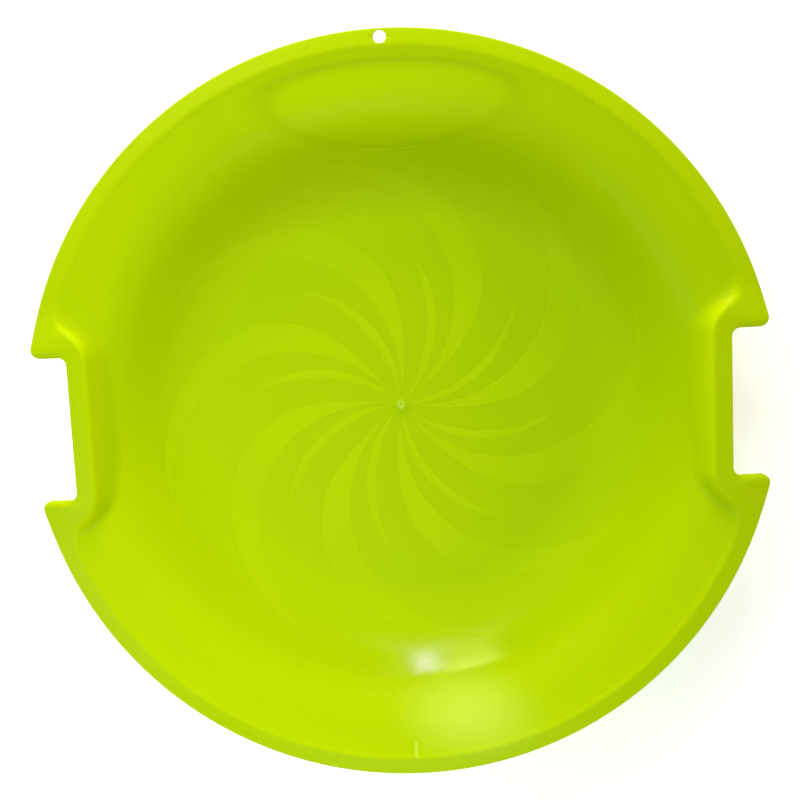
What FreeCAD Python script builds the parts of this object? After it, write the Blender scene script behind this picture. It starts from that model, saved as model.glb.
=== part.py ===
import FreeCAD, Part
import math
import os
import Sketcher

# Saucer sled: one round plastic moulding with a flat floor, a curved wall, a drooping lip,
# two hand grips cut into the rim, a tow hole and a low swirl on the floor.
# Millimetres, +Z up. The origin is the middle of the underside, on the ground.
# The wall of plastic is what lies between an upper and a lower form, as in its mould.

# Driving dimensions in millimetres, degrees and counts
SIZES = {
    # the moulding as a whole
    "outer_radius": 330.0,
    "wall": 3.0,
    # section of the dish, from the floor outwards: each bend is given on its smaller side
    "root_radius": 68.0,
    "wall_angle": 55.0,
    "wall_length": 21.5,
    "shoulder_radius": 83.0,
    "brim_angle": 18.0,
    "brim_length": 20.4,
    "step_radius": 6.0,
    "step_angle": 40.0,
    "step_length": 1.5,
    "crest_radius": 2.0,
    "lip_angle": 27.0,
    "lip_width": 16.0,
    # hand grips: the notch in the rim and the raised bank that follows it
    "notch_depth": 42.3,
    "notch_half_length": 63.5,
    "notch_corner": 8.5,
    "ear_radius": 9.0,
    "flange_width": 16.0,
    "flange_angle": 15.5,
    "grip_rise": 6.4,
    "grip_draft": 6.0,
    "bank_half_length": 86.0,
    "bank_corner": 31.0,
    "bank_crest_radius": 2.0,
    # tow hole in the lip
    "tow_hole_radius": 6.0,
    "tow_hole_inset": 8.0,
    # low relief on the inside
    "relief": 0.6,
    "swirl_count": 8,
    "swirl_turn": 37.0,
    "blade_base_radius": 28.0,
    "blade_tip_radius": 236.0,
    "blade_sweep": 83.0,
    "ray_base_radius": 34.0,
    "ray_tip_radius": 152.0,
    "ray_sweep": 38.0,
    "ray_lag": 34.4,
    "ray_half_angle": 6.6,
    "gate_radius": 4.5,
    "badge_offset": 270.5,
    "badge_half_width": 118.0,
    "badge_half_height": 35.0,
    "badge_band": 9.0,
}

# How the swirl's edges bend: a blade's front is a quarter ellipse in radius and bearing, its back
# is close to a parabola, and a ray's midline bends a little while its width dies away to the tip
BLADE_BACK_POWER = 1.9
BLADE_TIP_CUT = 0.94
RAY_BEND = 0.18
RAY_TAPER = 0.75
EDGE_POINTS = 9

# Height of the rim's crest above the ground, as the section adds up to it
CREST_LEVEL = (
    "(sizes.wall"
    " + sizes.root_radius * (1 - cos(sizes.wall_angle * 1 deg))"
    " + sizes.wall_length * sin(sizes.wall_angle * 1 deg)"
    " + (sizes.shoulder_radius + sizes.wall)"
    " * (cos(sizes.brim_angle * 1 deg) - cos(sizes.wall_angle * 1 deg))"
    " + sizes.brim_length * sin(sizes.brim_angle * 1 deg)"
    " + sizes.step_radius * (cos(sizes.brim_angle * 1 deg) - cos(sizes.step_angle * 1 deg))"
    " + sizes.step_length * sin(sizes.step_angle * 1 deg)"
    " + (sizes.crest_radius + sizes.wall) * (1 - cos(sizes.step_angle * 1 deg)))"
)
GRIP_LEVEL = f"({CREST_LEVEL} + sizes.grip_rise)"
# The forms run past the rim by the lip's own width, and are then trimmed to the outline
OVERRUN = "sizes.lip_width"
# Bends of the section whose smaller side is the upper face; the other two are proud of it
HOLLOW_BENDS = ("root_radius", "step_radius")
PROUD_BENDS = ("shoulder_radius", "crest_radius")

# Sketcher's numbers for the ends of an edge, its centre, the origin and the two axes
START, END, CENTRE = 1, 2, 3
ORIGIN, H_AXIS, V_AXIS = -1, -1, -2

TOLERANCE = 1e-6


def make_sheet(doc):
    """Writes the driving dimensions into a spreadsheet, one aliased cell each."""
    sheet = doc.addObject("Spreadsheet::Sheet", "sizes")
    for row, (name, value) in enumerate(SIZES.items(), start=1):
        sheet.set(f"A{row}", name)
        sheet.set(f"B{row}", str(value))
        sheet.setAlias(f"B{row}", name)
    doc.recompute()
    return sheet


def make_body(doc, name):
    """Adds an empty body."""
    return doc.addObject("PartDesign::Body", name)


def origin_feature(body, role):
    """Finds one of the body's own origin planes or axes."""
    return next(item for item in body.Origin.OriginFeatures if item.Role == role)


def make_sketch(body, name, role):
    """Adds a sketch on one of the body's origin planes."""
    sketch = body.newObject("Sketcher::SketchObject", name)
    sketch.AttachmentSupport = (origin_feature(body, role), [""])
    sketch.MapMode = "FlatFace"
    return sketch


def drive(sketch, name, constraint, expression):
    """Adds a named dimension to a sketch and ties it to the sheet."""
    index = sketch.addConstraint(constraint)
    sketch.renameConstraint(index, name)
    sketch.setExpression(f"Constraints.{name}", expression)


def flat(x, y):
    """A point in a sketch's plane."""
    return FreeCAD.Vector(x, y, 0)


def arc(centre, radius, start, end):
    """An arc in a sketch's plane, counter-clockwise between two angles in radians."""
    return Part.ArcOfCircle(Part.Circle(centre, FreeCAD.Vector(0, 0, 1), radius), start, end)


def section_chain(depth):
    """Lists the section's edges from the axis to past the rim, this far below its top face.

    Each entry is the edge, the end where the chain enters it and the end where it leaves it.
    """
    size = SIZES
    headings = [math.radians(size[name]) for name in ("wall_angle", "brim_angle", "step_angle")]
    headings = [0.0, *headings, -math.radians(size["lip_angle"])]
    bends = ["root_radius", "shoulder_radius", "step_radius", "crest_radius"]
    runs = ["wall_length", "brim_length", "step_length"]

    def bend_radius(name, level):
        return size[name] + (level if name in HOLLOW_BENDS else size["wall"] - level)

    # the floor is what the other widths leave of the radius
    floor = size["outer_radius"] - size["lip_width"]
    floor -= bend_radius("crest_radius", 0) * math.sin(headings[3])
    for index, name in enumerate(bends[:3]):
        swing = math.sin(headings[index + 1]) - math.sin(headings[index])
        floor -= bend_radius(name, 0) * abs(swing)
    for heading, name in zip(headings[1:4], runs):
        floor -= size[name] * math.cos(heading)

    here = flat(floor, size["wall"] - depth)
    chain = [(Part.LineSegment(flat(0, here.y), here), START, END)]
    for index, name in enumerate(bends):
        before, after = headings[index], headings[index + 1]
        radius = bend_radius(name, depth)
        if name in HOLLOW_BENDS:
            centre = here + flat(-math.sin(before), math.cos(before)) * radius
            edge = arc(centre, radius, before - math.pi / 2, after - math.pi / 2)
            chain.append((edge, START, END))
            here = edge.EndPoint
        else:
            centre = here + flat(math.sin(before), -math.cos(before)) * radius
            edge = arc(centre, radius, after + math.pi / 2, before + math.pi / 2)
            chain.append((edge, END, START))
            here = edge.StartPoint
        if index < len(runs):
            length = size[runs[index]]
        else:
            length = (size["outer_radius"] + size["lip_width"] - here.x) / math.cos(after)
        there = here + flat(math.cos(after), math.sin(after)) * length
        chain.append((Part.LineSegment(here, there), START, END))
        here = there
    return chain


def make_form(doc, name, depth, level):
    """Turns the section about Z into a solid form down past the ground.

    depth is how far the form's face lies below the sled's upper face, and level is the
    same as an expression on the sheet.
    """
    body = make_body(doc, name)
    sketch = make_sketch(body, f"{name}_section", "XZ_Plane")
    chain = section_chain(depth)
    edges = [entry[0] for entry in chain]
    first, last = edges[0].StartPoint, edges[-1].EndPoint
    low = -SIZES["outer_radius"]
    outer = Part.LineSegment(last, flat(last.x, low))
    base = Part.LineSegment(flat(last.x, low), flat(0, low))
    axis = Part.LineSegment(flat(0, low), first)
    floor, root, wall, shoulder, brim, step_bend, step, crest, lip = range(len(edges))
    outer_id, base_id, axis_id = len(edges), len(edges) + 1, len(edges) + 2
    sketch.addGeometry([*edges, outer, base, axis], False)

    for index in range(len(chain) - 1):
        leave, enter = chain[index][2], chain[index + 1][1]
        sketch.addConstraint(Sketcher.Constraint("Tangent", index, leave, index + 1, enter))
    for before, after in ((lip, outer_id), (outer_id, base_id), (base_id, axis_id), (axis_id, floor)):
        sketch.addConstraint(Sketcher.Constraint("Coincident", before, END, after, START))
    sketch.addConstraint(Sketcher.Constraint("PointOnObject", axis_id, START, V_AXIS))
    for index in (axis_id, outer_id):
        sketch.addConstraint(Sketcher.Constraint("Vertical", index))
    for index in (floor, base_id):
        sketch.addConstraint(Sketcher.Constraint("Horizontal", index))

    floor_level = SIZES["wall"] - depth
    if floor_level > TOLERANCE:
        rise = Sketcher.Constraint("DistanceY", ORIGIN, START, floor, START, floor_level)
        drive(sketch, "floor_level", rise, f"sizes.wall - ({level})")
    else:
        sketch.addConstraint(Sketcher.Constraint("PointOnObject", floor, START, H_AXIS))
    drop = Sketcher.Constraint("DistanceY", base_id, START, ORIGIN, START, -low)
    drive(sketch, "base_level", drop, f"sizes.outer_radius + ({level})")

    for index, size in zip((root, step_bend), HOLLOW_BENDS):
        bend = Sketcher.Constraint("Radius", index, SIZES[size] + depth)
        drive(sketch, size, bend, f"sizes.{size} + ({level})")
    for index, size in zip((shoulder, crest), PROUD_BENDS):
        bend = Sketcher.Constraint("Radius", index, SIZES[size] + floor_level)
        drive(sketch, size, bend, f"sizes.{size} + sizes.wall - ({level})")
    for index, size in ((wall, "wall_angle"), (brim, "brim_angle"), (step, "step_angle")):
        slope = Sketcher.Constraint("Angle", index, math.radians(SIZES[size]))
        drive(sketch, size, slope, f"sizes.{size} * 1 deg")
    droop = Sketcher.Constraint("Angle", lip, -math.radians(SIZES["lip_angle"]))
    drive(sketch, "lip_angle", droop, "-sizes.lip_angle * 1 deg")
    for index, size in ((wall, "wall_length"), (brim, "brim_length"), (step, "step_length")):
        drive(sketch, size, Sketcher.Constraint("Distance", index, SIZES[size]), f"sizes.{size}")
    crest_at = SIZES["outer_radius"] - SIZES["lip_width"]
    reach = Sketcher.Constraint("DistanceX", ORIGIN, START, crest, CENTRE, crest_at)
    drive(sketch, "crest_at", reach, "sizes.outer_radius - sizes.lip_width")
    reach = Sketcher.Constraint("DistanceX", ORIGIN, START, lip, END, last.x)
    drive(sketch, "lip_end", reach, f"sizes.outer_radius + {OVERRUN}")

    turn = body.newObject("PartDesign::Revolution", f"{name}_turn")
    turn.Profile = sketch
    turn.ReferenceAxis = (sketch, ["V_Axis"])
    turn.Angle = 360
    doc.recompute()
    return body


def make_bank(doc, name, depth, level):
    """Raises the block of one grip: a sloping flange with a drafted wall round its inner side.

    depth and level say how far its faces lie below the sled's upper face, as in make_form.
    """
    size = SIZES
    body = make_body(doc, name)
    sketch = make_sketch(body, f"{name}_plan", "XY_Plane")
    tilt = FreeCAD.Rotation(FreeCAD.Vector(0, 1, 0), size["flange_angle"])
    sketch.AttachmentOffset = FreeCAD.Placement(FreeCAD.Vector(), tilt)
    # the flange's crest line, moved down square to the flange by the depth
    crest_x = "(sizes.outer_radius - sizes.notch_depth - sizes.flange_width)"
    slope = "(sizes.flange_angle * 1 deg)"
    sketch.setExpression("AttachmentOffset.Base.x", f"{crest_x} - ({level}) * sin{slope}")
    sketch.setExpression("AttachmentOffset.Base.z", f"{GRIP_LEVEL} - ({level}) * cos{slope}")
    sketch.setExpression("AttachmentOffset.Rotation.Angle", "sizes.flange_angle * 1 deg")

    # a drafted wall that moves in square to itself moves in by this much along the flange
    draft = math.radians(size["grip_draft"])
    share = math.tan(math.pi / 4 - draft / 2)
    share_level = "tan(45 deg - sizes.grip_draft * 0.5 deg)"
    inset = depth * share
    inset_level = f"({level}) * {share_level}"
    corner = size["bank_corner"] + (size["wall"] - depth) * share
    corner_level = f"sizes.bank_corner + (sizes.wall - ({level})) * {share_level}"
    half = size["bank_half_length"] - inset
    run = size["notch_depth"] + size["flange_width"] + size["lip_width"]
    far = run / math.cos(math.radians(size["flange_angle"]))

    inner, top_bend, top, outer, bottom, bottom_bend = range(6)
    near = inset + corner
    sketch.addGeometry([
        Part.LineSegment(flat(inset, corner - half), flat(inset, half - corner)),
        arc(flat(near, half - corner), corner, math.pi / 2, math.pi),
        Part.LineSegment(flat(near, half), flat(far, half)),
        Part.LineSegment(flat(far, half), flat(far, -half)),
        Part.LineSegment(flat(far, -half), flat(near, -half)),
        arc(flat(near, corner - half), corner, math.pi, 1.5 * math.pi),
    ], False)
    for before, leave, after, enter in (
        (inner, END, top_bend, END),
        (top_bend, START, top, START),
        (bottom, END, bottom_bend, END),
        (bottom_bend, START, inner, START),
    ):
        sketch.addConstraint(Sketcher.Constraint("Tangent", before, leave, after, enter))
    for before, after in ((top, outer), (outer, bottom)):
        sketch.addConstraint(Sketcher.Constraint("Coincident", before, END, after, START))
    for index in (inner, outer):
        sketch.addConstraint(Sketcher.Constraint("Vertical", index))
    for index in (top, bottom):
        sketch.addConstraint(Sketcher.Constraint("Horizontal", index))
    sketch.addConstraint(Sketcher.Constraint("Equal", top_bend, bottom_bend))
    drive(sketch, "corner", Sketcher.Constraint("Radius", top_bend, corner), corner_level)
    if inset > TOLERANCE:
        place = Sketcher.Constraint("DistanceX", ORIGIN, START, inner, START, inset)
        drive(sketch, "inset", place, inset_level)
    else:
        sketch.addConstraint(Sketcher.Constraint("PointOnObject", inner, START, V_AXIS))
    half_level = f"sizes.bank_half_length - {inset_level}"
    place = Sketcher.Constraint("DistanceY", ORIGIN, START, top, START, half)
    drive(sketch, "half_length", place, half_level)
    place = Sketcher.Constraint("DistanceY", bottom, START, ORIGIN, START, half)
    drive(sketch, "other_half", place, half_level)
    place = Sketcher.Constraint("DistanceX", ORIGIN, START, outer, START, far)
    far_level = f"(sizes.notch_depth + sizes.flange_width + {OVERRUN}) / cos{slope}"
    drive(sketch, "far_side", place, far_level)

    block = body.newObject("PartDesign::Pad", f"{name}_block")
    block.Profile = sketch
    block.Reversed = True
    block.setExpression("Length", GRIP_LEVEL)
    block.setExpression("TaperAngle", "sizes.grip_draft * 1 deg")
    doc.recompute()

    # round the crest: the edges of the flange, except the outer one that is trimmed away
    local = sketch.Placement.inverse()
    crest = []
    for number, edge in enumerate(block.Shape.Edges, start=1):
        middle = local.multVec(edge.valueAt((edge.FirstParameter + edge.LastParameter) / 2))
        if abs(middle.z) < TOLERANCE and middle.x < far - TOLERANCE:
            crest.append(f"Edge{number}")
    rounding = body.newObject("PartDesign::Fillet", f"{name}_crest")
    rounding.Base = (block, crest)
    rounding.setExpression("Radius", f"sizes.bank_crest_radius + sizes.wall - ({level})")
    doc.recompute()
    return body


def mirror(doc, body):
    """Copies a grip's block to the other side of the sled."""
    copy = doc.addObject("Part::Mirroring", f"{body.Name}_mirrored")
    copy.Source = body
    copy.Normal = FreeCAD.Vector(1, 0, 0)
    return copy


def upright_edges(shape, radius, inside):
    """Names the upright edges of the outline that lie on the rim, or inside it."""
    names = []
    for number, edge in enumerate(shape.Edges, start=1):
        lower, upper = edge.Vertexes[0].Point, edge.Vertexes[-1].Point
        upright = abs(lower.x - upper.x) < TOLERANCE and abs(lower.y - upper.y) < TOLERANCE
        on_rim = math.hypot(lower.x, lower.y) > radius - TOLERANCE
        at_notch = abs(lower.y) > TOLERANCE
        if upright and at_notch and abs(upper.z - lower.z) > TOLERANCE and on_rim != inside:
            names.append(f"Edge{number}")
    return names


def make_outline(doc):
    """Makes the sled's plan as a tall block: a disc with two rounded notches and the tow hole."""
    size = SIZES
    body = make_body(doc, "outline")
    plan = make_sketch(body, "outline_plan", "XY_Plane")
    plan.addGeometry(Part.Circle(flat(0, 0), FreeCAD.Vector(0, 0, 1), size["outer_radius"]), False)
    plan.addConstraint(Sketcher.Constraint("Coincident", 0, CENTRE, ORIGIN, START))
    rim = Sketcher.Constraint("Radius", 0, size["outer_radius"])
    drive(plan, "outer_radius", rim, "sizes.outer_radius")
    disc = body.newObject("PartDesign::Pad", "outline_disc")
    disc.Profile = plan
    disc.SideType = "Symmetric"
    disc.setExpression("Length", f"2 * ({GRIP_LEVEL} + {OVERRUN})")
    doc.recompute()

    edge = size["outer_radius"] - size["notch_depth"]
    past = size["outer_radius"] + size["lip_width"]
    half = size["notch_half_length"]
    plan = make_sketch(body, "notch_plan", "XY_Plane")
    corners = [flat(edge, -half), flat(past, -half), flat(past, half), flat(edge, half)]
    ends = corners[1:] + corners[:1]
    plan.addGeometry([Part.LineSegment(a, b) for a, b in zip(corners, ends)], False)
    for index in range(4):
        after = (index + 1) % 4
        plan.addConstraint(Sketcher.Constraint("Coincident", index, END, after, START))
        run = "Horizontal" if index % 2 == 0 else "Vertical"
        plan.addConstraint(Sketcher.Constraint(run, index))
    place = Sketcher.Constraint("DistanceX", ORIGIN, START, 0, START, edge)
    drive(plan, "inner_edge", place, "sizes.outer_radius - sizes.notch_depth")
    place = Sketcher.Constraint("DistanceX", ORIGIN, START, 0, END, past)
    drive(plan, "open_side", place, f"sizes.outer_radius + {OVERRUN}")
    place = Sketcher.Constraint("DistanceY", 0, START, ORIGIN, START, half)
    drive(plan, "half_length", place, "sizes.notch_half_length")
    place = Sketcher.Constraint("DistanceY", ORIGIN, START, 2, START, half)
    drive(plan, "other_half", place, "sizes.notch_half_length")
    notch = body.newObject("PartDesign::Pocket", "notch")
    notch.Profile = plan
    notch.Type = "ThroughAll"
    notch.SideType = "Symmetric"
    doc.recompute()
    pair = body.newObject("PartDesign::Mirrored", "notch_pair")
    pair.Originals = [notch]
    pair.MirrorPlane = (origin_feature(body, "YZ_Plane"), [""])
    body.Tip = pair
    doc.recompute()

    base = pair
    for name, alias, inside in (("corners", "notch_corner", True), ("ears", "ear_radius", False)):
        rounding = body.newObject("PartDesign::Fillet", f"notch_{name}")
        rounding.Base = (base, upright_edges(base.Shape, size["outer_radius"], inside))
        rounding.setExpression("Radius", f"sizes.{alias}")
        doc.recompute()
        base = rounding

    plan = make_sketch(body, "tow_hole_plan", "XY_Plane")
    centre = flat(0, size["outer_radius"] - size["tow_hole_inset"])
    circle = Part.Circle(centre, FreeCAD.Vector(0, 0, 1), size["tow_hole_radius"])
    plan.addGeometry(circle, False)
    plan.addConstraint(Sketcher.Constraint("PointOnObject", 0, CENTRE, V_AXIS))
    bore = Sketcher.Constraint("Radius", 0, size["tow_hole_radius"])
    drive(plan, "bore", bore, "sizes.tow_hole_radius")
    place = Sketcher.Constraint("DistanceY", ORIGIN, START, 0, CENTRE, centre.y)
    drive(plan, "tow_hole_at", place, "sizes.outer_radius - sizes.tow_hole_inset")
    hole = body.newObject("PartDesign::Pocket", "tow_hole")
    hole.Profile = plan
    hole.Type = "ThroughAll"
    hole.SideType = "Symmetric"
    doc.recompute()
    return body


def polar(radius, degrees):
    """A point in plan from its radius and bearing."""
    bearing = math.radians(degrees)
    return FreeCAD.Vector(radius * math.cos(bearing), radius * math.sin(bearing), 0)


def swirl_column(edges, height):
    """A tall column over one leaf of the swirl.

    Each edge is a rule that gives radius and bearing for a share of the leaf's sweep, with
    the shares where that edge starts and ends.
    """
    curves = []
    for rule, start, end in edges:
        steps = [(step / (EDGE_POINTS - 1)) ** 2 for step in range(EDGE_POINTS)]
        curve = Part.BSplineCurve()
        curve.interpolate([polar(*rule(start + (end - start) * step)) for step in steps])
        curves.append(curve)
    front, back = curves
    outline = [front, back, Part.LineSegment(front.StartPoint, back.StartPoint)]
    if front.EndPoint.distanceToPoint(back.EndPoint) > TOLERANCE:
        outline.append(Part.LineSegment(front.EndPoint, back.EndPoint))
    wire = Part.Wire(Part.__sortEdges__([edge.toShape() for edge in outline]))
    return Part.Face(wire).extrude(FreeCAD.Vector(0, 0, height))


def blade_column(value):
    """The column of one long blade, with its base on the X axis."""
    tip, sweep, power = value("blade_tip_radius"), value("blade_sweep"), BLADE_BACK_POWER
    foot = value("blade_base_radius") / tip

    def front(share):
        return tip * math.sqrt(1 - (1 - share) ** 2), sweep * share

    def back(share):
        return tip * (1 - (1 - share) ** power), sweep * share

    front_start = 1 - math.sqrt(1 - foot ** 2)
    back_start = 1 - (1 - foot) ** (1 / power)
    edges = ((front, front_start, BLADE_TIP_CUT), (back, back_start, BLADE_TIP_CUT))
    return swirl_column(edges, value("outer_radius"))


def ray_column(value):
    """The column of one short thin ray, with its midline's base on the X axis."""
    tip = value("ray_tip_radius")
    foot = value("ray_base_radius") / tip

    def edge(side):
        def rule(share):
            middle = value("ray_sweep") * ((1 - RAY_BEND) * share + RAY_BEND * share ** 2)
            return tip * share, middle + side * value("ray_half_angle") * (1 - share) ** RAY_TAPER
        return rule, foot, 1.0

    return swirl_column((edge(-1), edge(1)), value("outer_radius"))


def make_swirl(doc, sheet):
    """Makes the columns of the pinwheel: long blades and, between them, short thin rays."""
    value = sheet.get
    leaves = ((blade_column(value), 0.0), (ray_column(value), value("ray_lag")))
    count = int(value("swirl_count"))
    columns = []
    for number in range(count):
        turn = value("swirl_turn") + number * 360 / count
        for leaf, lag in leaves:
            column = leaf.copy()
            column.rotate(FreeCAD.Vector(), FreeCAD.Vector(0, 0, 1), turn - lag)
            columns.append(column)
    swirl = doc.addObject("Part::Feature", "swirl")
    swirl.Shape = Part.makeCompound(columns)
    return swirl


def make_gate(doc):
    """Makes the column of the round mark that the mould's gate leaves at the centre."""
    gate = doc.addObject("Part::Cylinder", "gate")
    gate.setExpression("Radius", "sizes.gate_radius")
    gate.setExpression("Height", "sizes.outer_radius")
    return gate


def make_badge(doc):
    """Makes the columns of the oval border on the front wall; the field inside it is bare."""
    blocks = []
    for name, trim in (("badge_outside", "0"), ("badge_inside", "sizes.badge_band")):
        oval = doc.addObject("Part::Ellipse", f"{name}_line")
        oval.setExpression("MajorRadius", f"sizes.badge_half_width - {trim}")
        oval.setExpression("MinorRadius", f"sizes.badge_half_height - {trim}")
        oval.setExpression("Placement.Base.y", "sizes.badge_offset")
        block = doc.addObject("Part::Extrusion", name)
        block.Base = oval
        block.DirMode = "Custom"
        block.Dir = FreeCAD.Vector(0, 0, 1)
        block.setExpression("LengthFwd", "sizes.outer_radius")
        block.Solid = True
        blocks.append(block)
    return combine(doc, "Part::Cut", "badge", *blocks)


def combine(doc, kind, name, base, tool):
    """Joins, trims or cuts two objects."""
    result = doc.addObject(kind, name)
    result.Base = base
    result.Tool = tool
    return result


def fuse(doc, name, shapes):
    """Joins several objects into one."""
    result = doc.addObject("Part::MultiFuse", name)
    result.Shapes = shapes
    return result


def make_sled(doc, sheet):
    """Builds the sled's one moulding."""
    wall, relief = SIZES["wall"], SIZES["relief"]
    raised = make_form(doc, "raised_form", -relief, "-sizes.relief")
    columns = fuse(doc, "relief_columns", [make_swirl(doc, sheet), make_gate(doc), make_badge(doc)])
    relief_faces = combine(doc, "Part::Common", "relief_faces", columns, raised)

    upper_form = make_form(doc, "upper_form", 0, "0")
    upper_bank = make_bank(doc, "upper_bank", 0, "0")
    upper_parts = [upper_form, upper_bank, mirror(doc, upper_bank), relief_faces]
    upper = fuse(doc, "upper_side", upper_parts)

    lower_form = make_form(doc, "lower_form", wall, "sizes.wall")
    lower_bank = make_bank(doc, "lower_bank", wall, "sizes.wall")
    lower_parts = [lower_form, lower_bank, mirror(doc, lower_bank)]
    lower = fuse(doc, "lower_side", lower_parts)

    trimmed = combine(doc, "Part::Common", "trimmed", upper, make_outline(doc))
    sled = combine(doc, "Part::Cut", "sled", trimmed, lower)
    sled.Label = "sled_disc"
    doc.recompute()
    return sled


def check(doc, parts):
    """Stops if any object failed or any part has no sound solid."""
    for item in doc.Objects:
        if "Invalid" in item.State or "Error" in item.State:
            raise RuntimeError(f"{item.Label} failed: {item.State}")
    for part in parts:
        if part.Shape.isNull() or not part.Shape.isValid() or not part.Shape.Solids:
            raise RuntimeError(f"{part.Label} has no sound solid")


def main():
    """Builds the document and writes each part to its own file."""
    os.makedirs("parts", exist_ok=True)
    doc = FreeCAD.newDocument("saucer_sled")
    sheet = make_sheet(doc)
    parts = [make_sled(doc, sheet)]
    check(doc, parts)
    for part in parts:
        part.Shape.exportStep(f"parts/{part.Label}.step")
        box = part.Shape.optimalBoundingBox(False)
        print(part.Label, "solids", len(part.Shape.Solids), "volume", round(part.Shape.Volume))
        print("box", [round(value, 2) for value in (box.XLength, box.YLength, box.ZMin, box.ZMax)])


main()
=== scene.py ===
import logging
import math
from dataclasses import dataclass, field, fields, replace
from enum import Enum
from typing import Any, Callable, Optional, TypeVar, Union

import bpy
import numpy as np
from mathutils import Matrix, Vector


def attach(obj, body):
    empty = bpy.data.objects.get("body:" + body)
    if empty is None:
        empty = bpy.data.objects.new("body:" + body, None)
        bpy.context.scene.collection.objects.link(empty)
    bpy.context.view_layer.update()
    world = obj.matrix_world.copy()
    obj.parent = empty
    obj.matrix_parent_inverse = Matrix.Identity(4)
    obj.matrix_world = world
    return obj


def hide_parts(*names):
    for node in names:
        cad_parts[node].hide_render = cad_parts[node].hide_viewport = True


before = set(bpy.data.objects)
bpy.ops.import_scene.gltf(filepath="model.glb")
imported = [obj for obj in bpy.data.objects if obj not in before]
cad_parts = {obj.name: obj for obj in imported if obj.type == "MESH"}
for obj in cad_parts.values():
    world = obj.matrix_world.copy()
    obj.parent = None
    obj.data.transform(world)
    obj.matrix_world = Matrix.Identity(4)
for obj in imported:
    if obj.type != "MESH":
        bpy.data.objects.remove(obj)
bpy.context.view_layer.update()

LOG = logging.getLogger("sled")
MM = 0.001
DISC_NODE = "sled_disc"
DISC_BODY = "root"
WELD_DISTANCE = 0.001 * MM
OFF_ZERO = 0.001
HALVINGS = 50
FRONT_BEARING = 90.0
WHITE = (1.0, 1.0, 1.0, 1.0)
Colour = tuple[float, float, float, float]
Socket = bpy.types.NodeSocket
Sizes = TypeVar("Sizes")


def operator_pair(operation: str) -> tuple[Callable[..., "Value"], Callable[..., "Value"]]:
    """An operator that adds a Math node, and its reflected form.

    Args:
        operation: the node's operation.

    Returns:
        The method for a socket on the left, and the one for a socket on the right.
    """
    def direct(self: "Value", other: "Number") -> "Value":
        """The socket comes first."""
        return self.graph.math(operation, self, other)

    def reflected(self: "Value", other: "Number") -> "Value":
        """The socket comes second."""
        return self.graph.math(operation, other, self)

    return direct, reflected


class Value:
    """A number socket in a node tree; arithmetic on it adds Math nodes."""

    __add__, __radd__ = operator_pair("ADD")
    __sub__, __rsub__ = operator_pair("SUBTRACT")
    __mul__, __rmul__ = operator_pair("MULTIPLY")
    __truediv__, __rtruediv__ = operator_pair("DIVIDE")
    __pow__, __rpow__ = operator_pair("POWER")

    def __init__(self, graph: "Graph", socket: Socket) -> None:
        """Wraps a socket of a graph."""
        self.graph = graph
        self.socket = socket

    def __neg__(self) -> "Value":
        """The number with its sign turned."""
        return self.graph.math("MULTIPLY", self, -1.0)


Number = Union[float, np.ndarray, Value]
Traced = tuple[Value, Value, Value]


class Graph:
    """Adds nodes to one node tree."""

    def __init__(self, tree: bpy.types.NodeTree) -> None:
        """Takes the tree that the nodes go into."""
        self.tree = tree

    def node(self, kind: str, sockets: Optional[dict[Any, Any]] = None,
             settings: Optional[dict[str, Any]] = None) -> bpy.types.Node:
        """Adds a node, sets it up, then fills or links its sockets.

        Args:
            kind: the node's type name.
            sockets: input name or index to a value, a socket, a Value or a list of sockets.
            settings: its own settings, set first.

        Returns:
            The new node.
        """
        made = self.tree.nodes.new(kind)
        for name, choice in (settings or {}).items():
            setattr(made, name, choice)
        for key, given in (sockets or {}).items():
            self.feed(made.inputs[key], given)
        return made

    def feed(self, socket: Socket, given: Any) -> None:
        """Fills or links one input.

        Args:
            socket: the input.
            given: a plain value, a socket, a Value, or a list of sockets for one shared input.
        """
        for one in given if isinstance(given, list) else [given]:
            source = one.socket if isinstance(one, Value) else one
            if isinstance(source, Socket):
                self.tree.links.new(source, socket)
            else:
                socket.default_value = source

    def math(self, operation: str, *numbers: Number) -> Value:
        """Adds a Math node with its inputs in order."""
        made = self.node("ShaderNodeMath", dict(enumerate(numbers)), {"operation": operation})
        return Value(self, made.outputs[0])

    def axes(self, vector: Socket) -> tuple[Value, Value, Value]:
        """The three numbers of a vector."""
        parts = self.node("ShaderNodeSeparateXYZ", {"Vector": vector})
        return tuple(Value(self, out) for out in parts.outputs)

    def vector(self, x: Number, y: Number, z: Number) -> Socket:
        """A vector of three numbers."""
        return self.node("ShaderNodeCombineXYZ", {0: x, 1: y, 2: z}).outputs[0]

    def blend(self, share: Value, first: Any, second: Any) -> Socket:
        """Mixes two colours.

        Args:
            share: 0 for the first colour, 1 for the second.
            first: a colour or a colour socket.
            second: a colour or a colour socket.

        Returns:
            The mixed colour.
        """
        made = self.node("ShaderNodeMix", {"Factor": share}, {"data_type": "RGBA"})
        for key, given in (("A", first), ("B", second)):
            socket = next(one for one in made.inputs if one.name == key and one.type == "RGBA")
            self.feed(socket, given)
        return next(out for out in made.outputs if out.type == "RGBA")


@dataclass(frozen=True)
class Rule:
    """A rule for plain numbers and arrays that adds a Math node where one of them is a socket."""

    operation: str
    plain: Callable[..., Any]

    def __call__(self, *numbers: Number) -> Number:
        """Works the rule out.

        Args:
            numbers: what the rule works on.

        Returns:
            The result, a socket if any of the numbers was one.
        """
        for number in numbers:
            if isinstance(number, Value):
                return number.graph.math(self.operation, *numbers)
        return self.plain(*numbers)


root = Rule("SQRT", np.sqrt)
sine = Rule("SINE", np.sin)
cosine = Rule("COSINE", np.cos)
least = Rule("MINIMUM", np.minimum)
most = Rule("MAXIMUM", np.maximum)
size_of = Rule("ABSOLUTE", np.abs)


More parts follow.
